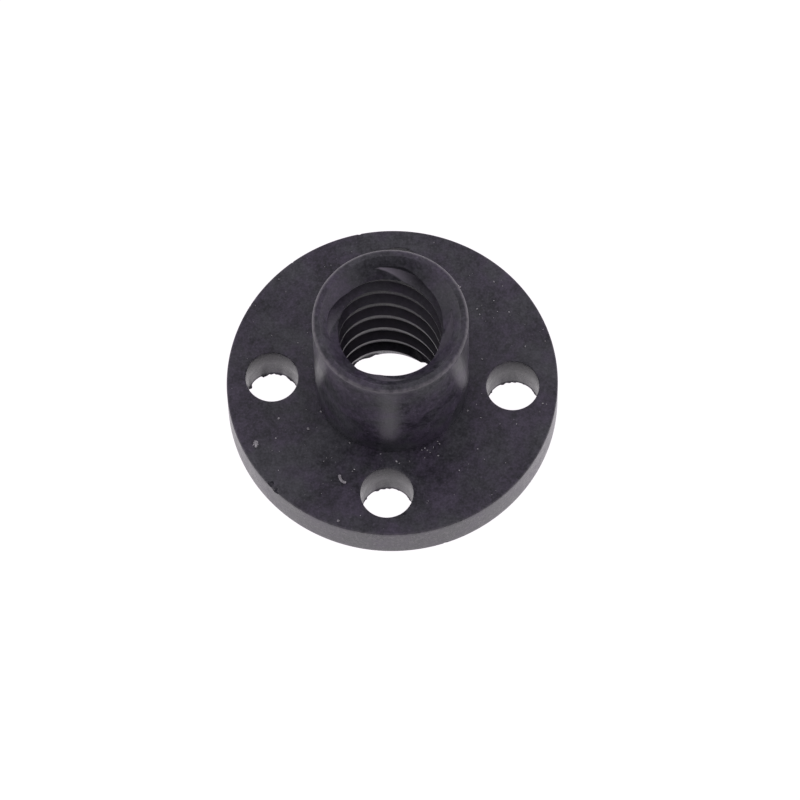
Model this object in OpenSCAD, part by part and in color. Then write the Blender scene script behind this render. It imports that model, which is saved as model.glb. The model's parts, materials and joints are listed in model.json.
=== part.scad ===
// Flanged lead screw nut, made as one solid piece: a round bolting flange, a plain
// hub standing on it, and a multi-start trapezoidal thread right through the middle.
// The nut stands on the flange's seat face. Z = 0 is that face, and +Z runs up the
// screw's axis towards the hub's mouth. Two of the screw holes lie on the X axis.

/* [Flange] */
// Diameter of the bolting flange
flange_d = 22; // [20:0.5:30]
// Thickness of the flange
flange_t = 3.5; // [2.5:0.25:8]
// Bevel round the flange's lower rim
flange_bevel = 0.6; // [0.1:0.1:1]
// Edge break round the flange's upper rim
flange_break = 0.1; // [0.05:0.05:0.4]

/* [Hub] */
// Outside diameter of the hub
hub_d = 10.2; // [10:0.1:11.5]
// Height of the hub above the flange
hub_h = 10; // [5:0.5:20]
// Edge break round the hub's top
hub_break = 0.12; // [0.05:0.01:0.3]
// Width of the flat ring between the edge break and the lead-in
rim_w = 0.38; // [0.1:0.02:0.5]

/* [Screw holes] */
// Diameter of each screw hole
hole_d = 3.5; // [2:0.1:4]
// Number of screw holes
hole_count = 4; // [2:1:6]
// Diameter of the circle through the holes' centres
hole_circle_d = 16; // [15.5:0.25:17]

/* [Thread] */
// Nominal diameter of the screw that runs in the nut
screw_d = 8; // [7.8:0.1:8.4]
// Diameter across the thread's crests
crest_d = 6.8; // [6:0.1:7.4]
// Diameter across the thread's roots
root_d = 8.2; // [7.8:0.1:8.6]
// Distance from one crest to the next along the axis
pitch = 2; // [1.5:0.25:3]
// Number of starts cut side by side
starts = 4; // [1:1:6]
// Extra width of each groove, so that the screw runs freely
flank_play = 0.05; // [0:0.01:0.1]
// Slope of a flank, measured from square to the axis
flank_angle = 15; // [10:1:20]
// Turn about the axis of the first groove, at the seat face
groove_turn = 50; // [0:1:90]
// Slope of the lead-in at the hub's mouth, measured from the axis
lead_in_angle = 45; // [30:1:60]

/* [Hidden] */

$fn = 96;
over = 0.5;             // how far a cutter runs past the faces it opens
facet_angle = 10;       // turn of the thread from one slice to the next
root_steps = 3;         // flats across the bottom of a groove

flange_r = flange_d / 2;
hub_r = hub_d / 2;
crest_r = crest_d / 2;
root_r = root_d / 2;
overall_h = flange_t + hub_h;
lead = pitch * starts;
pitch_r = screw_d / 2 - pitch / 4;  // where ridge and groove would be equally wide
mouth_r = hub_r - hub_break - rim_w;
lead_in_h = (mouth_r - crest_r) / tan(lead_in_angle);
groove_in_r = crest_r - over;

// A point at radius r and angle a about the axis
function polar(r, a) = [r * cos(a), r * sin(a)];

// Half the width of a groove at radius r, along the axis and then as an angle
function groove_half(r) = pitch / 4 + flank_play / 2 - (r - pitch_r) * tan(flank_angle);
function groove_angle(r) = 360 * groove_half(r) / lead;

// One groove's outline square across the axis: up one flank, over the root, down the other
function groove_outline(mid) = concat(
    [polar(groove_in_r, mid - groove_angle(groove_in_r))],
    [for (i = [0 : root_steps])
        polar(root_r, mid + groove_angle(root_r) * (2 * i / root_steps - 1))],
    [polar(groove_in_r, mid + groove_angle(groove_in_r))]
);

// Flange and hub in one turned profile, still solid
module blank() {
    rotate_extrude()
        polygon([
            [0, 0],
            [flange_r - flange_bevel, 0],
            [flange_r, flange_bevel],
            [flange_r, flange_t - flange_break],
            [flange_r - flange_break, flange_t],
            [hub_r, flange_t],
            [hub_r, overall_h - hub_break],
            [hub_r - hub_break, overall_h],
            [0, overall_h]
        ]);
}

// The cone that leads the screw into the thread
module lead_in() {
    translate([0, 0, overall_h - lead_in_h])
        cylinder(r1 = crest_r, r2 = crest_r + (lead_in_h + over) * tan(lead_in_angle),
                 h = lead_in_h + over);
}

// The bore at the crests
module bore() {
    translate([0, 0, -over])
        cylinder(r = crest_r, h = overall_h + 2 * over);
}

// All the grooves at once, wound up the axis as a right-hand thread
module grooves() {
    cut_h = overall_h + 2 * over;
    translate([0, 0, -over])
        rotate(groove_turn - 360 * over / lead)
            linear_extrude(height = cut_h, twist = -360 * cut_h / lead,
                           slices = ceil(360 * cut_h / lead / facet_angle), $fn = 0)
                polygon([for (i = [0 : starts - 1]) each groove_outline(360 * i / starts)]);
}

// Screw holes on their circle, the first on the X axis
module screw_holes() {
    for (i = [0 : hole_count - 1])
        rotate(360 * i / hole_count)
            translate([hole_circle_d / 2, 0, -over])
                cylinder(d = hole_d, h = flange_t + 2 * over);
}

module nut() {
    color([0.16, 0.15, 0.17])
        difference() {
            blank();
            bore();
            grooves();
            lead_in();
            screw_holes();
        }
}

nut();
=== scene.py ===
"""A flanged lead screw nut in black acetal, turned, drilled, threaded, and a little dusty."""

import json
import math

import bpy
from mathutils import Matrix, Vector


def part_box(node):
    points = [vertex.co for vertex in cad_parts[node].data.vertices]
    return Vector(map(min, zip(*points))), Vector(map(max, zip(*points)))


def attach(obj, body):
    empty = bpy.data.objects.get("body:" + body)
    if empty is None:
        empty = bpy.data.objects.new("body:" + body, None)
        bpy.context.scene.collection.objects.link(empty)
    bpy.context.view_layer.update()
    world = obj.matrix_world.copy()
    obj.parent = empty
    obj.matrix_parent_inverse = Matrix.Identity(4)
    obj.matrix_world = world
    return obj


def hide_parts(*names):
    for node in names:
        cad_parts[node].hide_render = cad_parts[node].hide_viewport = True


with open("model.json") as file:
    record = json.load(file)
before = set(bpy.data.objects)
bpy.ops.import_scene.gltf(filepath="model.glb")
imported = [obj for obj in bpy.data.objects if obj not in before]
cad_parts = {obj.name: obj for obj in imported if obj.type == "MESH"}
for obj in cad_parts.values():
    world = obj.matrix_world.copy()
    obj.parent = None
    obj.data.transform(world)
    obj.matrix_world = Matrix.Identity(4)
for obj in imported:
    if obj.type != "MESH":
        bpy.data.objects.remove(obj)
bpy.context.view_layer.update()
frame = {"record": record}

MM = 0.001

# ---------------------------------------------------------------- sizes, all from the frame

MOUNTS = {mount["name"]: mount for mount in frame["record"]["mounts"]}
THREAD = MOUNTS["lead_screw_thread"]["dims"]
HOLES = MOUNTS["flange_screw_holes"]["dims"]

box_low, box_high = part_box("nut")
FLANGE_R = min(-box_low.x, -box_low.y, box_high.x, box_high.y)
OVERALL_H = box_high.z
FLANGE_T = MOUNTS["flange_shoulder"]["pos_m"][2]
HUB_R = MOUNTS["hub_outside"]["dims"]["r_mm"] * MM
CREST_R = THREAD["r_mm"] * MM
HOLE_R = HOLES["hole_r_mm"] * MM
HOLE_CIRCLE_R = HOLES["pcd_mm"] * MM / 2
LEAD_IN_H = OVERALL_H - THREAD["length_mm"] * MM
MOUTH_R = CREST_R + LEAD_IN_H

# ---------------------------------------------------------------- sizes of the finish

FLANGE_BEVEL = 0.6 * MM  # round the flange's lower rim
FLANGE_BREAK = 0.10 * MM  # round the flange's upper rim
HUB_BREAK = 0.22 * MM  # round the hub's mouth
SOFTENED = 0.05 * MM  # radius of the other edges
LIP = 0.07 * MM  # flare of a screw hole at the flange's top
RAGGED = 0.26 * MM  # reach of the torn plastic left at a screw hole's lower edge

# The thread. Heights on a ridge are counted up from its middle. Its upper edge is crisp. Below a
# narrow land its crest is worn back, most of all at the lower edge.
ROOT_R = 4.1 * MM
PITCH = 2.0 * MM
STARTS = 4
LEAD = PITCH * STARTS
GROOVE_TURN = math.radians(50)  # the middle of the first groove, at the seat face
RIDGE_TURN = GROOVE_TURN + math.pi / STARTS  # the middle of the ridge after it
RIDGE_TOP = 0.62 * MM
RIDGE_TOP_AT_ROOT = 0.70 * MM
LAND_FOOT = 0.40 * MM
WORN_END = -0.50 * MM
WORN_R = 3.66 * MM
RIDGE_FOOT = -0.70 * MM
EDGE_SOFT = 0.06 * MM
EXIT_LIFT = 0.27 * MM  # lift of the grooves' lowest turn
EXIT_R = 3.57 * MM  # the grooves' radius at the seat face
EXIT_START = 0.4 * MM  # height below which the grooves get shallower
EXIT_END = 0.05 * MM  # height below which they keep the exit's radius
CUTTER_IN_R = 3.1 * MM
OVER = 0.6 * MM  # how far the cutters run past the faces that they open
RUN_IN = OVER + 2 * PITCH  # how far below the seat face the groove cutters start

# Nicks in the edges: turn in degrees, radius, height and size in mm.
NICKS = [
    (228.0, 11.02, 3.50, 0.30),
    (225.0, 10.86, 3.56, 0.22),
    (130.0, 11.04, 3.52, 0.16),
    (152.0, 11.03, 3.52, 0.15),
    (104.0, 11.05, 3.50, 0.16),
    (30.0, 5.14, 13.50, 0.10),
    (326.0, 5.14, 13.48, 0.09),
    (291.0, 11.06, 0.62, 0.16),
]

# Grains of dust that stand out: turn in degrees, radius and size in mm. Those nearer to the axis
# than the hub's outside lie on the hub's rim, and the others on the flange.
GRAINS = [
    (209.0, 10.06, 0.16), (208.3, 9.98, 0.12), (209.8, 10.13, 0.11), (208.9, 10.20, 0.09),
    (250.5, 6.99, 0.07), (251.1, 6.81, 0.05), (253.0, 10.62, 0.08), (202.0, 7.98, 0.08),
    (214.0, 6.53, 0.08), (339.0, 5.45, 0.07), (307.0, 5.50, 0.07), (302.0, 6.18, 0.07),
    (307.0, 7.82, 0.06), (338.0, 6.45, 0.05), (353.0, 10.11, 0.07), (45.0, 7.66, 0.06),
    (42.0, 7.54, 0.05), (49.0, 9.87, 0.06), (43.0, 8.91, 0.06), (38.0, 8.61, 0.05),
    (35.0, 9.23, 0.05), (18.0, 10.55, 0.06), (18.0, 9.18, 0.05), (17.0, 6.17, 0.06),
    (138.0, 10.61, 0.06), (140.0, 9.63, 0.05), (160.0, 8.67, 0.05),
    (30.5, 5.09, 0.08), (31.8, 5.09, 0.05), (296.6, 5.30, 0.05), (297.5, 5.52, 0.06),
    (298.4, 5.72, 0.05), (302.2, 5.51, 0.05), (307.0, 5.29, 0.05), (294.0, 5.34, 0.04),
    (275.3, 5.79, 0.06), (277.2, 5.94, 0.05), (283.7, 5.90, 0.05), (264.1, 5.30, 0.05),
    (240.2, 5.25, 0.06), (207.4, 5.20, 0.06), (352.9, 10.37, 0.06),
]
RIM_DROP = 0.16 * MM  # how far the hub's rim has curved down where its grains lie
SUNK = 0.4  # height of a grain's middle above its seat, as a share of its size

# A short curl of lint: turn in degrees, radius and height in mm.
LINT = [
    (245.4, 7.62, 3.56),
    (246.2, 7.77, 3.60),
    (247.3, 7.89, 3.63),
    (248.6, 7.95, 3.63),
    (249.7, 7.92, 3.58),
]
LINT_R = 0.095 * MM

# ---------------------------------------------------------------- fineness of the meshes

COLUMNS = 288  # faces round the turned blank
DRILL_SIDES = 96
LINT_SIDES = 8
LINT_STEPS = 40
HELIX_STEP = math.radians(3)
FACE_STEP = 0.32 * MM  # longest face along the blank's outline
ARC_STEP = math.radians(18)
SHARP_FROM = math.radians(32)  # edges that turn by more stay sharp
WELD = 0.0005 * MM  # points that lie closer become one


# ---------------------------------------------------------------- node trees as Python sums

class Wire:
    """An output of a node. A sum written with it adds the nodes that work it out."""

    def __init__(self, graph, socket):
        self.graph = graph
        self.socket = socket

    def of(self, name):
        """Another output of the same node."""
        return Wire(self.graph, self.graph.find(self.socket.node.outputs, name))

    def __add__(self, other):
        return self.graph.sum("ADD", self, other)

    def __radd__(self, other):
        return self.graph.sum("ADD", other, self)

    def __sub__(self, other):
        return self.graph.sum("SUBTRACT", self, other)

    def __rsub__(self, other):
        return self.graph.sum("SUBTRACT", other, self)

    def __mul__(self, other):
        return self.graph.sum("MULTIPLY", self, other)

    def __rmul__(self, other):
        return self.graph.sum("MULTIPLY", other, self)

    def __truediv__(self, other):
        return self.graph.sum("DIVIDE", self, other)

    def __rtruediv__(self, other):
        return self.graph.sum("DIVIDE", other, self)

    def __lt__(self, other):
        return self.graph.sum("LESS_THAN", self, other)

    def __gt__(self, other):
        return self.graph.sum("GREATER_THAN", self, other)


class Graph:
    """One node tree, and the calls that fill it."""

    def __init__(self, tree):
        self.tree = tree

    @staticmethod
    def find(sockets, name):
        if isinstance(name, int):
            return sockets[name]
        return next(s for s in sockets if s.enabled and name in (s.name, s.identifier))

    def add(self, kind, settings=None, sockets=None, out=0):
        """Adds a node: its settings first, then the values or wires of its sockets."""
        made = self.tree.nodes.new(kind)
        for name, value in (settings or {}).items():
            setattr(made, name, value)
        for name, value in (sockets or {}).items():
            self.plug(self.find(made.inputs, name), value)
        return Wire(self, self.find(made.outputs, out))

    def plug(self, socket, value):
        if isinstance(value, Wire):
            self.tree.links.new(value.socket, socket)
        else:
            socket.default_value = value

    def sum(self, operation, *values):
        """A number worked out from one or two others."""
        return self.add("ShaderNodeMath", {"operation": operation}, dict(enumerate(values)))

    def vector(self, operation, *values, out=0):
        """A vector worked out from others, or its length where out is Value."""
        settings = {"operation": operation}
        return self.add("ShaderNodeVectorMath", settings, dict(enumerate(values)), out)

    def point(self, x, y, z):
        return self.add("ShaderNodeCombineXYZ", sockets={"X": x, "Y": y, "Z": z})

    def split(self, vector):
        """The X, Y and Z parts of a vector."""
        x = self.add("ShaderNodeSeparateXYZ", sockets={0: vector})
        return x, x.of("Y"), x.of("Z")

    def range(self, value, start, end, low, high):
        """Runs from low to high while value runs from start to end, and stays there beyond."""
        sockets = {"Value": value, "From Min": start, "From Max": end, "To Min": low, "To Max": high}
        return self.add("ShaderNodeMapRange", sockets=sockets)

    def rise(self, value, start, end):
        """0 up to start, and 1 from end on."""
        return self.range(value, start, end, 0.0, 1.0)

    def fall(self, value, start, end):
        """1 up to start, and 0 from end on."""
        return self.range(value, start, end, 1.0, 0.0)

    def along(self, value, points):
        """A broken line through the points (value, height)."""
        total = points[0][1]
        for (start, low), (end, high) in zip(points, points[1:]):
            total = total + self.range(value, start, end, 0.0, high - low)
        return total

    def noise(self, vector, grain, detail=2.0, roughness=0.5):
        """Smooth random heights about a half, with lumps of the grain's size."""
        sockets = {"Vector": vector, "Scale": 1 / grain, "Detail": detail, "Roughness": roughness}
        return self.add("ShaderNodeTexNoise", sockets=sockets)

    def mixed(self, share, first, second):
        """The first colour where share is 0, and the second where it is 1."""
        sockets = {"Factor": share, "A": first, "B": second}
        return self.add("ShaderNodeMix", {"data_type": "RGBA"}, sockets, "Result")


# ---------------------------------------------------------------- objects and materials

def mesh_object(name, verts, edges=(), faces=()):
    """A mesh from its points, edges and faces, put in the scene."""
    mesh = bpy.data.meshes.new(name)
    mesh.from_pydata(verts, edges, faces)
    made = bpy.data.objects.new(name, mesh)
    bpy.context.scene.collection.objects.link(made)
    return made


def new_material(name):
    """A material of one shader, with its graph and the shader."""
    material = bpy.data.materials.new(name)
    material.use_nodes = True
    graph = Graph(material.node_tree)
    return material, graph, material.node_tree.nodes["Principled BSDF"]


# ---------------------------------------------------------------- camera, floor and light

CAMERA_TURN = math.radians(-85.92)  # about the nut's axis, from X
CAMERA_RISE = math.radians(66.87)  # above the flange
CAMERA_ROLL = math.radians(-1.71)
CAMERA_AWAY = 437.25 * MM
CAMERA_LENS = 296.51
CAMERA_SLIDE = (0.517 * MM, -1.254 * MM)  # to its right, and up


def add_camera():
    """A long lens looking down at the mouth, aimed near the middle of the flange."""
    data = bpy.data.cameras.new("camera")
    data.lens = CAMERA_LENS
    data.sensor_width = 36.0
    data.clip_start = 10 * MM
    data.clip_end = 5.0
    camera = bpy.data.objects.new("camera", data)
    bpy.context.scene.collection.objects.link(camera)
    outward = math.cos(CAMERA_RISE)
    towards = Vector((
        outward * math.cos(CAMERA_TURN),
        outward * math.sin(CAMERA_TURN),
        math.sin(CAMERA_RISE),
    ))
    turned = (-towards).to_track_quat("-Z", "Y").to_matrix() @ Matrix.Rotation(CAMERA_ROLL, 3, "Z")
    centre = Vector((0, 0, FLANGE_T))
    slide = turned.col[0] * CAMERA_SLIDE[0] + turned.col[1] * CAMERA_SLIDE[1]
    spot = centre + towards * CAMERA_AWAY + slide
    camera.matrix_world = Matrix.Translation(spot) @ turned.to_4x4()
    bpy.context.scene.camera = camera


def add_floor():
    """A white floor, a hair below the seat face so that the two don't share a plane."""
    reach = 0.6
    level = -0.01 * MM
    corners = [(x * reach, y * reach, level) for x, y in ((-1, -1), (1, -1), (1, 1), (-1, 1))]
    floor = mesh_object("floor", corners, faces=[(0, 1, 2, 3)])
    paper, _, shader = new_material("white_paper")
    shader.inputs["Base Color"].default_value = (0.06, 0.06, 0.06, 1)
    shader.inputs["Roughness"].default_value = 0.9
    shader.inputs["Specular IOR Level"].default_value = 0.1
    shader.inputs["Emission Color"].default_value = (1, 0.96, 1, 1)
    shader.inputs["Emission Strength"].default_value = 1.04
    floor.data.materials.append(paper)


def add_room():
    """Pale walls all round, brighter at the sides and back, with a dark stretch low in front."""
    world = bpy.data.worlds.new("room")
    world.use_nodes = True
    world.node_tree.nodes.clear()
    room = Graph(world.node_tree)
    x, y, z = room.split(room.add("ShaderNodeTexCoord", out="Generated"))
    low = room.fall(z, 0.3, 0.8)
    front = room.range(y, -0.9, -0.2, 0.58, 0.0)
    back = room.range(y, 0.4, 1.0, 0.0, 0.8)
    side = room.range(room.sum("ABSOLUTE", x), 0.5, 1.0, 0.0, 1.1)
    glow = room.range(z, 0.0, 1.0, 0.6, 0.82) + (back + side - front) * low
    light = room.add("ShaderNodeBackground", sockets={"Color": (1, 0.955, 1.03, 1), "Strength": glow})
    end = world.node_tree.nodes.new("ShaderNodeOutputWorld")
    world.node_tree.links.new(light.socket, end.inputs["Surface"])
    bpy.context.scene.world = world


# ---------------------------------------------------------------- materials

# Colours of the plastic, of its pits, of its scuffs with a painted edge highlight, of its cutting
# powder with painted light on the lit flanks, and of the dust.
PORE = (0.002, 0.002, 0.005, 1)
VIOLET_BLACK = (0.061, 0.049, 0.077, 1)
GREY_BLACK = (0.056, 0.056, 0.065, 1)
PALE_PIT = (0.13, 0.12, 0.14, 1)
SCUFF_AND_PAINTED_HIGHLIGHT = (0.12, 0.112, 0.123, 1)
CHALK = (0.075, 0.068, 0.078, 1)
POWDER_AND_PAINTED_LIGHT = (0.17, 0.155, 0.185, 1)
DUST_SHADE = (0.20, 0.19, 0.20, 1)
DUST_LIGHT = (0.45, 0.44, 0.45, 1)

# How thick the cutting powder lies, and how strong the painted light on the lit upper flanks is, at
# each height in the bore.
POWDER_AND_LIGHT_DEPTH = [(5 * MM, 0.5), (12 * MM, 0.1), (12.8 * MM, 1.0)]


def edge_scuffs_and_highlights(graph, radius, height):
    """Where handling has rubbed the edges, and where a highlight of the rounded edges is painted: the
    hub's rim most, and the flange's upper rim.
    """
    at_hub = graph.rise(radius, HUB_R - 0.22 * MM, HUB_R - 0.10 * MM)
    at_mouth = graph.rise(height, OVERALL_H - 0.24 * MM, OVERALL_H - 0.12 * MM)
    at_flange = graph.rise(radius, FLANGE_R - 0.12 * MM, FLANGE_R - 0.03 * MM)
    at_top = graph.rise(height, FLANGE_T - 0.10 * MM, FLANGE_T - 0.02 * MM)
    return at_hub * at_mouth * 0.9 + at_flange * at_top * 0.4


def hole_walls(graph, x, y):
    """The walls of the screw holes. Folding X and Y together brings all four to one place."""
    across = graph.sum("ABSOLUTE", x)
    along = graph.sum("ABSOLUTE", y)
    outward = graph.sum("MAXIMUM", across, along) - HOLE_CIRCLE_R
    aside = graph.sum("MINIMUM", across, along)
    from_middle = graph.vector("LENGTH", graph.point(outward, aside, 0.0), out="Value")
    return graph.fall(from_middle, HOLE_R + 0.02 * MM, HOLE_R + 0.06 * MM)


def thread_faces(graph, radius, height):
    """Everything in the bore that lies behind the lead-in cone."""
    behind_cone = radius - height + (OVERALL_H - LEAD_IN_H - CREST_R)
    return graph.rise(behind_cone, 0.02 * MM, 0.1 * MM) * (radius < ROOT_R + 0.1 * MM)


def upper_flanks(graph, x, y, height):
    """The ridges' upper flanks, found by their height above the middle of their own ridge."""
    turn = graph.sum("ARCTAN2", y, x) - RIDGE_TURN
    above_ridge = graph.sum("FLOORED_MODULO", height - turn * (LEAD / math.tau), PITCH)
    over_land = graph.rise(above_ridge, RIDGE_TOP - 0.05 * MM, RIDGE_TOP)
    return over_land * graph.fall(above_ridge, RIDGE_TOP_AT_ROOT, RIDGE_TOP_AT_ROOT + 0.1 * MM)


def black_acetal():
    """Black acetal: faint turning marks, mottling, fine pits, scuffed edges with a painted highlight,
    and cutting powder with painted light on the lit flanks.
    """
    material, graph, shader = new_material("black_acetal")
    place = graph.add("ShaderNodeTexCoord", out="Object")
    x, y, height = graph.split(place)
    radius = graph.vector("LENGTH", graph.point(x, y, 0.0), out="Value")

    hue = graph.rise(graph.noise(place, 2.6 * MM, 3.0, 0.6), 0.42, 0.58)
    mottle = graph.noise(place, 2.2 * MM, 4.0, 0.6)
    blotch = graph.noise(place, 0.42 * MM, 3.0, 0.6)
    speckle = graph.noise(place, 0.16 * MM, 2.0, 0.6)
    rings = graph.noise(graph.point(radius, radius * 0.5, height * 0.2), 0.12 * MM, 3.0, 0.7)
    streak = graph.noise(graph.point(x, y, height * 0.55), 0.2 * MM, 3.0, 0.65)

    scuffed_and_highlighted = edge_scuffs_and_highlights(graph, radius, height) * graph.range(blotch, 0.35, 0.6, 0.35, 1.0)
    in_hole = hole_walls(graph, x, y)
    on_side = graph.rise(radius, FLANGE_R - 0.08 * MM, FLANGE_R - 0.02 * MM)
    wall = graph.sum("MAXIMUM", in_hole, on_side)
    in_bore = thread_faces(graph, radius, height)
    # The powder and the painted light of the upward, lit flanks lie thickest on the bore's back, and
    # there is none on the seat face.
    far_side = graph.range(y, 1.5 * MM, 3.0 * MM, 0.35, 1.0)
    above_seat = graph.rise(height, 0.02 * MM, 0.1 * MM)
    flank_powder_and_light = in_bore * upper_flanks(graph, x, y, height) * far_side * above_seat
    powder_and_painted_light = flank_powder_and_light * graph.along(height, POWDER_AND_LIGHT_DEPTH)

    tone = graph.range(mottle, 0.35, 0.65, 0.0, 0.40)
    tone = tone + graph.range(blotch, 0.38, 0.62, 0.0, 0.30)
    tone = tone + graph.range(speckle, 0.38, 0.62, 0.0, 0.30)
    colour = graph.mixed(tone, PORE, graph.mixed(hue, VIOLET_BLACK, GREY_BLACK))
    colour = graph.mixed(graph.range(speckle, 0.66, 0.80, 0.0, 0.5), colour, PALE_PIT)
    # Lighter colour on the hub's rim and the flange's upper rim: wear, and a painted highlight of the
    # rounded edges.
    colour = graph.mixed(scuffed_and_highlighted, colour, SCUFF_AND_PAINTED_HIGHLIGHT)
    colour = graph.mixed(wall * graph.rise(streak, 0.50, 0.66), colour, CHALK)
    # Cutting powder that is also painted light: it lightens the ridges' upper flanks, which face up
    # where light falls into the bore.
    colour = graph.mixed(powder_and_painted_light, colour, POWDER_AND_PAINTED_LIGHT)
    graph.plug(shader.inputs["Base Color"], colour)

    rough = graph.range(mottle, 0.3, 0.7, 0.34, 0.42) + graph.range(blotch, 0.3, 0.7, -0.05, 0.05)
    rough = rough + scuffed_and_highlighted * 0.1 - wall * 0.07
    rough = rough + in_hole * graph.range(height, 0.1 * MM, 0.3 * MM, 0.4, 0.0)
    rough = rough + in_bore * graph.range(height, 3 * MM, 11 * MM, 0.0, 0.2)
    graph.plug(shader.inputs["Roughness"], rough)
    shader.inputs["IOR"].default_value = 1.44

    relief = rings * 0.35 + blotch * 0.5 + speckle * 0.3 + wall * streak * 2.0
    sockets = {"Strength": 0.35, "Distance": 0.02 * MM, "Height": relief}
    graph.plug(shader.inputs["Normal"], graph.add("ShaderNodeBump", sockets=sockets))
    return material


def pale_dust():
    """Pale, matt dust, for the grains and the lint."""
    material, graph, shader = new_material("pale_dust")
    place = graph.add("ShaderNodeTexCoord", out="Object")
    tone = graph.rise(graph.noise(place, 0.4 * MM, 2.0), 0.35, 0.65)
    graph.plug(shader.inputs["Base Color"], graph.mixed(tone, DUST_SHADE, DUST_LIGHT))
    shader.inputs["Roughness"].default_value = 0.9
    return material


# ---------------------------------------------------------------- outlines, cut through the axis

def rounded(corners):
    """A broken line through the corners (x, z, radius), each rounded with an arc of its radius."""
    points = []
    for number, (x, z, radius) in enumerate(corners):
        corner = Vector((x, z))
        if radius == 0 or number in (0, len(corners) - 1):
            points.append(corner)
            continue
        before = (Vector(corners[number - 1][:2]) - corner).normalized()
        after = (Vector(corners[number + 1][:2]) - corner).normalized()
        half = before.angle(after) / 2
        centre = corner + (before + after).normalized() * radius / math.sin(half)
        start = corner + before * radius / math.tan(half) - centre
        sweep = start.angle_signed(corner + after * radius / math.tan(half) - centre)
        steps = max(2, round(abs(sweep) / ARC_STEP))
        for step in range(steps + 1):
            points.append(centre + Matrix.Rotation(-sweep * step / steps, 2) @ start)
    return points


def spaced(points, gap):
    """The same line, with its long straights cut into equal lengths of at most the gap."""
    filled = [points[0]]
    for start, end in zip(points, points[1:]):
        count = max(1, math.ceil((end - start).length / gap))
        filled += [start.lerp(end, step / count) for step in range(1, count + 1)]
    return filled


def blank_outline():
    """The turned blank, once round: over the hub and the flange, under the seat, up the bore."""
    corners = [
        (MOUTH_R + SOFTENED, OVERALL_H, 0),
        (HUB_R, OVERALL_H, HUB_BREAK),
        (HUB_R, FLANGE_T, 0),
        (FLANGE_R, FLANGE_T, FLANGE_BREAK),
        (FLANGE_R, FLANGE_BEVEL, SOFTENED),
        (FLANGE_R - FLANGE_BEVEL, 0, SOFTENED),
        (CREST_R, 0, SOFTENED),
        (CREST_R, OVERALL_H - LEAD_IN_H, SOFTENED),
        (MOUTH_R, OVERALL_H, SOFTENED),
        (MOUTH_R + SOFTENED, OVERALL_H, 0),
    ]
    return spaced(rounded(corners), FACE_STEP)[::-1]


def groove_outline():
    """One groove, once round: its radius and its height above the middle of the ridge below.

    It closes inside the bore, where there is nothing left to cut.
    """
    corners = [
        (CUTTER_IN_R, RIDGE_TOP - EDGE_SOFT, 0),
        (CREST_R - EDGE_SOFT / 2, RIDGE_TOP - 2 * EDGE_SOFT, 0),
        (CREST_R, RIDGE_TOP, EDGE_SOFT),
        (ROOT_R, RIDGE_TOP_AT_ROOT, SOFTENED),
        (ROOT_R, PITCH + RIDGE_FOOT, SOFTENED),
        (WORN_R, PITCH + WORN_END, EDGE_SOFT),
        (CREST_R, PITCH + LAND_FOOT, 0),
        (CREST_R - SOFTENED / 5, PITCH + LAND_FOOT + SOFTENED / 3, 0),
        (CUTTER_IN_R, PITCH + LAND_FOOT - SOFTENED, 0),
        (CUTTER_IN_R, RIDGE_TOP - EDGE_SOFT, 0),
    ]
    return rounded(corners)


# ---------------------------------------------------------------- geometry trees

def new_tree(name, inputs):
    """An empty geometry tree with a named input for each size. Gives its graph and its entry."""
    tree = bpy.data.node_groups.new(name, "GeometryNodeTree")
    tree.interface.new_socket(name="Geometry", in_out="INPUT", socket_type="NodeSocketGeometry")
    tree.interface.new_socket(name="Geometry", in_out="OUTPUT", socket_type="NodeSocketGeometry")
    for label, value in inputs.items():
        kind = "NodeSocketInt" if isinstance(value, int) else "NodeSocketFloat"
        tree.interface.new_socket(name=label, in_out="INPUT", socket_type=kind)
    graph = Graph(tree)
    return graph, graph.add("NodeGroupInput")


def finish_tree(graph, geometry, material):
    """Ends a tree with real geometry that carries its material."""
    real = graph.add("GeometryNodeRealizeInstances", sockets={0: geometry})
    painted = graph.add("GeometryNodeSetMaterial", sockets={0: real, "Material": material})
    end = graph.tree.nodes.new("NodeGroupOutput")
    graph.plug(end.inputs[0], painted)


def grown(name, base, tree, inputs):
    """Runs the tree on the base object, which keeps what the tree makes as a plain mesh."""
    modifier = base.modifiers.new(name, "NODES")
    modifier.node_group = tree
    for item in tree.interface.items_tree:
        if item.in_out == "INPUT" and item.name in inputs:
            modifier[item.identifier] = inputs[item.name]
    bpy.context.view_layer.update()
    evaluated = base.evaluated_get(bpy.context.evaluated_depsgraph_get())
    mesh = bpy.data.meshes.new_from_object(evaluated)
    base.modifiers.remove(modifier)
    base.data = mesh
    mesh.name = name
    base.name = name
    return base


def joined(graph, parts):
    """All the parts as one geometry."""
    join = graph.add("GeometryNodeJoinGeometry")
    for part in parts:
        graph.plug(join.socket.node.inputs[0], part)
    return join


def turned_point(graph, angle, radius, height):
    """A place from its turn about the axis, its radius and its height."""
    return graph.point(radius * graph.sum("COSINE", angle), radius * graph.sum("SINE", angle), height)


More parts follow.
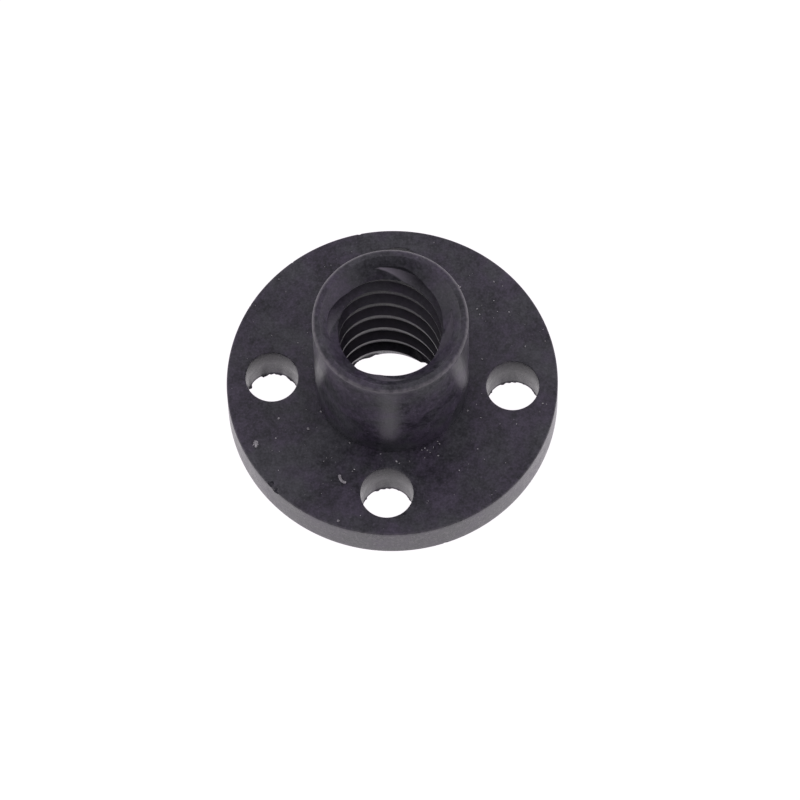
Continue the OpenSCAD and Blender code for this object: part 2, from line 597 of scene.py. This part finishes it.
def swept(graph, outline, first, count, columns, place):
    """A skin swept from count points of the outline, starting at the point numbered first.

    Each point is laid where place(share, radius, height) says. The share runs from 0 to 1 over
    the columns, and the radius and the height are the point's in the outline.
    """
    sockets = {"Size X": 1.0, "Size Y": 1.0, "Vertices X": columns + 1, "Vertices Y": count}
    grid = graph.add("GeometryNodeMeshGrid", sockets=sockets)
    position = graph.add("GeometryNodeInputPosition")
    across, up, _ = graph.split(position)
    row = graph.sum("ROUND", (up + 0.5) * float(count - 1))
    settings = {"data_type": "FLOAT_VECTOR", "domain": "POINT"}
    sockets = {"Geometry": outline, "Value": position, "Index": row + float(first)}
    radius, _, height = graph.split(graph.add("GeometryNodeSampleIndex", settings, sockets))
    sockets = {"Geometry": grid, "Position": place(across + 0.5, radius, height)}
    laid = graph.add("GeometryNodeSetPosition", sockets=sockets)
    return graph.add("GeometryNodeMergeByDistance", sockets={"Geometry": laid, "Distance": WELD})


def lump(graph, size, fineness):
    """A small ball with an uneven skin."""
    ball = graph.add("GeometryNodeMeshIcoSphere", sockets={"Radius": size, "Subdivisions": fineness})
    position = graph.add("GeometryNodeInputPosition")
    swell = graph.noise(position, 0.9 * size, 1.0) * 1.2 + 0.4
    swollen = graph.vector("MULTIPLY", position, graph.point(swell, swell, swell))
    return graph.add("GeometryNodeSetPosition", sockets={"Geometry": ball, "Position": swollen})


def on_nut(turn, radius, height):
    """A place from its turn in degrees and its radius and height in mm."""
    angle = math.radians(turn)
    return Vector((radius * math.cos(angle), radius * math.sin(angle), height)) * MM


# ---------------------------------------------------------------- the nut

def turned_blank(graph, outline, count):
    """The outline turned once about the axis."""
    def place(share, radius, height):
        return turned_point(graph, share * math.tau, radius, height)

    return swept(graph, outline, 0, count, COLUMNS, place)


def groove_cutters(graph, outline, first, count, size):
    """One groove wound up the axis for each start. Its ends close to points outside the nut."""
    turns = (RUN_IN + OVERALL_H + OVER) / LEAD
    columns = math.ceil(turns * math.tau / HELIX_STEP)

    def place(share, radius, rise):
        inside = graph.fall(graph.sum("ABSOLUTE", share - 0.5), 0.5 - 0.5 / columns, 0.5)
        radius = size["Crest radius"] + (radius - size["Crest radius"]) * inside
        rise = size["Pitch"] + (rise - size["Pitch"]) * inside
        turn = share * turns
        climb = turn * size["Pitch"] * size["Starts"] - RUN_IN
        climb = climb + graph.range(climb, -PITCH, PITCH, size["Exit lift"], 0.0)
        height = climb + rise
        reach = graph.range(height, EXIT_END, EXIT_START, size["Exit radius"], ROOT_R)
        angle = turn * math.tau + size["Start turn"]
        return turned_point(graph, angle, graph.sum("MINIMUM", radius, reach), height)

    cutter = swept(graph, outline, first, count, columns, place)
    spots = graph.add("GeometryNodePoints", sockets={"Count": size["Starts"]})
    step = graph.add("GeometryNodeInputIndex") / size["Starts"] * math.tau
    sockets = {"Points": spots, "Instance": cutter, "Rotation": graph.point(0.0, 0.0, step)}
    spread = graph.add("GeometryNodeInstanceOnPoints", sockets=sockets)
    return graph.add("GeometryNodeRealizeInstances", sockets={0: spread})


def hole_cutters(graph, size):
    """One drill for each screw hole, flared at the top, with a ragged edge where it came out."""
    over = 0.4 * MM
    # The drill's side, from below the seat face up: height, and how far it flares.
    side = [
        (-over, 0),
        (0, 0),
        (LIP, 0),
        (3 * LIP, 0),
        (FLANGE_T / 2, 0),
        (FLANGE_T - LIP, 0),
        (FLANGE_T - LIP * 0.3, LIP * 0.3),
        (FLANGE_T, LIP),
        (FLANGE_T + over, LIP + over),
    ]
    steps = len(side) - 1
    sockets = {"Vertices": DRILL_SIDES, "Side Segments": steps, "Radius": 1.0, "Depth": 1.0}
    blank = graph.add("GeometryNodeMeshCylinder", {"fill_type": "NGON"}, sockets)
    x, y, z = graph.split(graph.add("GeometryNodeInputPosition"))
    row = (z + 0.5) * float(steps)
    height = graph.along(row, [(number, level) for number, (level, _) in enumerate(side)])
    flare = graph.along(row, [(number, reach) for number, (_, reach) in enumerate(side)])
    unevenness = graph.noise(graph.point(x, y, 0.0), 0.5, 3.0, 0.75)
    torn = graph.range(unevenness, 0.46, 0.70, 0.0, RAGGED) * graph.fall(row, 1.0, 3.0)
    radius = size["Hole radius"] + flare - torn
    drilled = graph.point(x * radius, y * radius, height)
    drill = graph.add("GeometryNodeSetPosition", sockets={"Geometry": blank, "Position": drilled})
    sockets = {"Vertices": size["Hole count"], "Radius": size["Hole circle radius"]}
    spots = graph.add("GeometryNodeMeshCircle", sockets=sockets)
    # Each drill is turned on by 2.1 radians, so that no two edges are torn alike.
    turn = graph.point(0.0, 0.0, graph.add("GeometryNodeInputIndex") * 2.1)
    sockets = {"Points": spots, "Instance": drill, "Rotation": turn}
    spread = graph.add("GeometryNodeInstanceOnPoints", sockets=sockets)
    return graph.add("GeometryNodeRealizeInstances", sockets={0: spread})


def nick_cutters(graph):
    """A lump for each nick, half buried in the edge that it takes a bite from."""
    lumps = []
    for number, (turn, radius, height, size) in enumerate(NICKS):
        sockets = {
            "Geometry": lump(graph, size * MM, 3),
            "Translation": on_nut(turn, radius, height),
            "Rotation": (number, 2.0 * number, 0.7 * number),
        }
        lumps.append(graph.add("GeometryNodeTransform", sockets=sockets))
    return lumps


def make_nut(material):
    """The turned blank less its grooves, screw holes and nicks, all cut in one operation."""
    sizes = {
        "Crest radius": CREST_R,
        "Pitch": PITCH,
        "Starts": STARTS,
        "Exit lift": EXIT_LIFT,
        "Exit radius": EXIT_R,
        "Start turn": RIDGE_TURN - math.tau * RUN_IN / LEAD,
        "Hole radius": HOLE_R,
        "Hole circle radius": HOLE_CIRCLE_R,
        "Hole count": HOLES["count"],
    }
    graph, entry = new_tree("nut_form", sizes)
    size = {label: entry.of(label) for label in sizes}
    blank_points = blank_outline()
    groove_points = groove_outline()
    points = [(point.x, 0, point.y) for point in blank_points + groove_points]
    drawn = mesh_object("nut_body", points)
    blank = turned_blank(graph, entry, len(blank_points))
    grooves = groove_cutters(graph, entry, len(blank_points), len(groove_points), size)
    cutters = joined(graph, [grooves, hole_cutters(graph, size), *nick_cutters(graph)])
    settings = {"operation": "DIFFERENCE", "solver": "MANIFOLD"}
    cut = graph.add("GeometryNodeMeshBoolean", settings, {"Mesh 1": blank})
    graph.plug(cut.socket.node.inputs[1], cutters)
    smooth = graph.add("GeometryNodeSetShadeSmooth", sockets={"Geometry": cut, "Shade Smooth": True})
    finish_tree(graph, smooth, material)
    nut = grown("nut_body", drawn, graph.tree, sizes)
    nut.data.set_sharp_from_angle(angle=SHARP_FROM)
    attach(nut, "root")
    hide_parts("nut")


# ---------------------------------------------------------------- dust

def fine_haze(graph, size, chance):
    """Points spread evenly over the flange, each with a size, and none over a screw hole."""
    angle = chance(0.0, math.tau, 0)
    inner, outer = size["Inner radius"], size["Outer radius"]
    radius = graph.sum("SQRT", inner * inner + chance(0.0, 1.0, 1) * (outer * outer - inner * inner))
    nearest = graph.sum("ROUND", angle / math.tau * size["Hole count"])
    past_hole = angle - nearest / size["Hole count"] * math.tau
    outward = radius * graph.sum("COSINE", past_hole) - size["Hole circle radius"]
    aside = radius * graph.sum("SINE", past_hole)
    from_middle = graph.vector("LENGTH", graph.point(outward, aside, 0.0), out="Value")
    place = turned_point(graph, angle, radius, size["Height"])
    sockets = {"Count": size["Haze count"], "Position": place}
    haze = graph.add("GeometryNodePoints", sockets=sockets)
    sockets = {"Geometry": haze, "Name": "size", "Value": size["Haze size"] * chance(0.6, 1.7, 2)}
    sized = graph.add("GeometryNodeStoreNamedAttribute", {"data_type": "FLOAT"}, sockets)
    sockets = {"Geometry": sized, "Selection": from_middle < size["Hole radius"]}
    return graph.add("GeometryNodeDeleteGeometry", sockets=sockets)


def make_dust(material):
    """The grains that stand out, and a haze of finer ones over the flange."""
    sizes = {
        "Haze count": 110,
        "Haze size": 0.024 * MM,
        "Inner radius": HUB_R + 0.2 * MM,
        "Outer radius": FLANGE_R - 0.3 * MM,
        "Height": FLANGE_T,
        "Hole radius": HOLE_R + 0.15 * MM,
        "Hole circle radius": HOLE_CIRCLE_R,
        "Hole count": HOLES["count"],
        "Seed": 7,
    }
    graph, entry = new_tree("dust_fall", sizes)
    size = {label: entry.of(label) for label in sizes}

    def chance(low, high, step):
        sockets = {"Min": low, "Max": high, "Seed": size["Seed"] + step}
        return graph.add("FunctionNodeRandomValue", {"data_type": "FLOAT"}, sockets, "Value")

    haze = fine_haze(graph, size, chance)
    grains = graph.add("GeometryNodeMeshToPoints", sockets={0: entry})
    sockets = {"Name": "size"}
    grain_size = graph.add("GeometryNodeInputNamedAttribute", sockets=sockets, out="Attribute")
    spin = graph.point(chance(0.0, math.tau, 3), chance(0.0, math.tau, 4), chance(0.0, math.tau, 5))
    shape = graph.point(chance(0.6, 1.4, 6), chance(0.6, 1.4, 7), chance(0.4, 0.9, 8))
    sockets = {
        "Points": joined(graph, [grains, haze]),
        "Instance": lump(graph, 1.0, 2),
        "Rotation": spin,
        "Scale": graph.vector("MULTIPLY", shape, graph.point(grain_size, grain_size, grain_size)),
    }
    finish_tree(graph, graph.add("GeometryNodeInstanceOnPoints", sockets=sockets), material)

    points = []
    for turn, radius, grain in GRAINS:
        on_hub = radius * MM < HUB_R
        seat = OVERALL_H - RIM_DROP if on_hub else FLANGE_T
        points.append(on_nut(turn, radius, seat / MM + grain * SUNK))
    base = mesh_object("dust", points)
    sizing = base.data.attributes.new("size", "FLOAT", "POINT")
    sizing.data.foreach_set("value", [grain * MM for _, _, grain in GRAINS])
    dust = grown("dust", base, graph.tree, sizes)
    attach(dust, "root")


def make_lint(material):
    """A short curl of lint lying on the flange."""
    sizes = {"Thickness": LINT_R}
    graph, entry = new_tree("lint_curl", sizes)
    line = graph.add("GeometryNodeMeshToCurve", sockets={0: entry})
    eased = graph.add("GeometryNodeCurveSplineType", {"spline_type": "CATMULL_ROM"}, {0: line})
    even = graph.add("GeometryNodeResampleCurve", sockets={"Curve": eased, "Count": LINT_STEPS})
    fluff = graph.noise(graph.add("GeometryNodeInputPosition"), 0.09 * MM, 2.0) * 1.4 + 0.3
    thick = graph.add("GeometryNodeSetCurveRadius", sockets={"Curve": even, "Radius": fluff})
    sockets = {"Resolution": LINT_SIDES, "Radius": entry.of("Thickness")}
    section = graph.add("GeometryNodeCurvePrimitiveCircle", sockets=sockets)
    sockets = {"Curve": thick, "Profile Curve": section, "Fill Caps": True}
    finish_tree(graph, graph.add("GeometryNodeCurveToMesh", sockets=sockets), material)
    points = [on_nut(*place) for place in LINT]
    edges = [(number, number + 1) for number in range(len(points) - 1)]
    base = mesh_object("lint", points, edges)
    lint = grown("lint", base, graph.tree, sizes)
    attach(lint, "root")


add_camera()
add_floor()
add_room()
bpy.context.scene.view_settings.view_transform = "Standard"

acetal = black_acetal()
dusty = pale_dust()
make_nut(acetal)
make_dust(dusty)
make_lint(dusty)
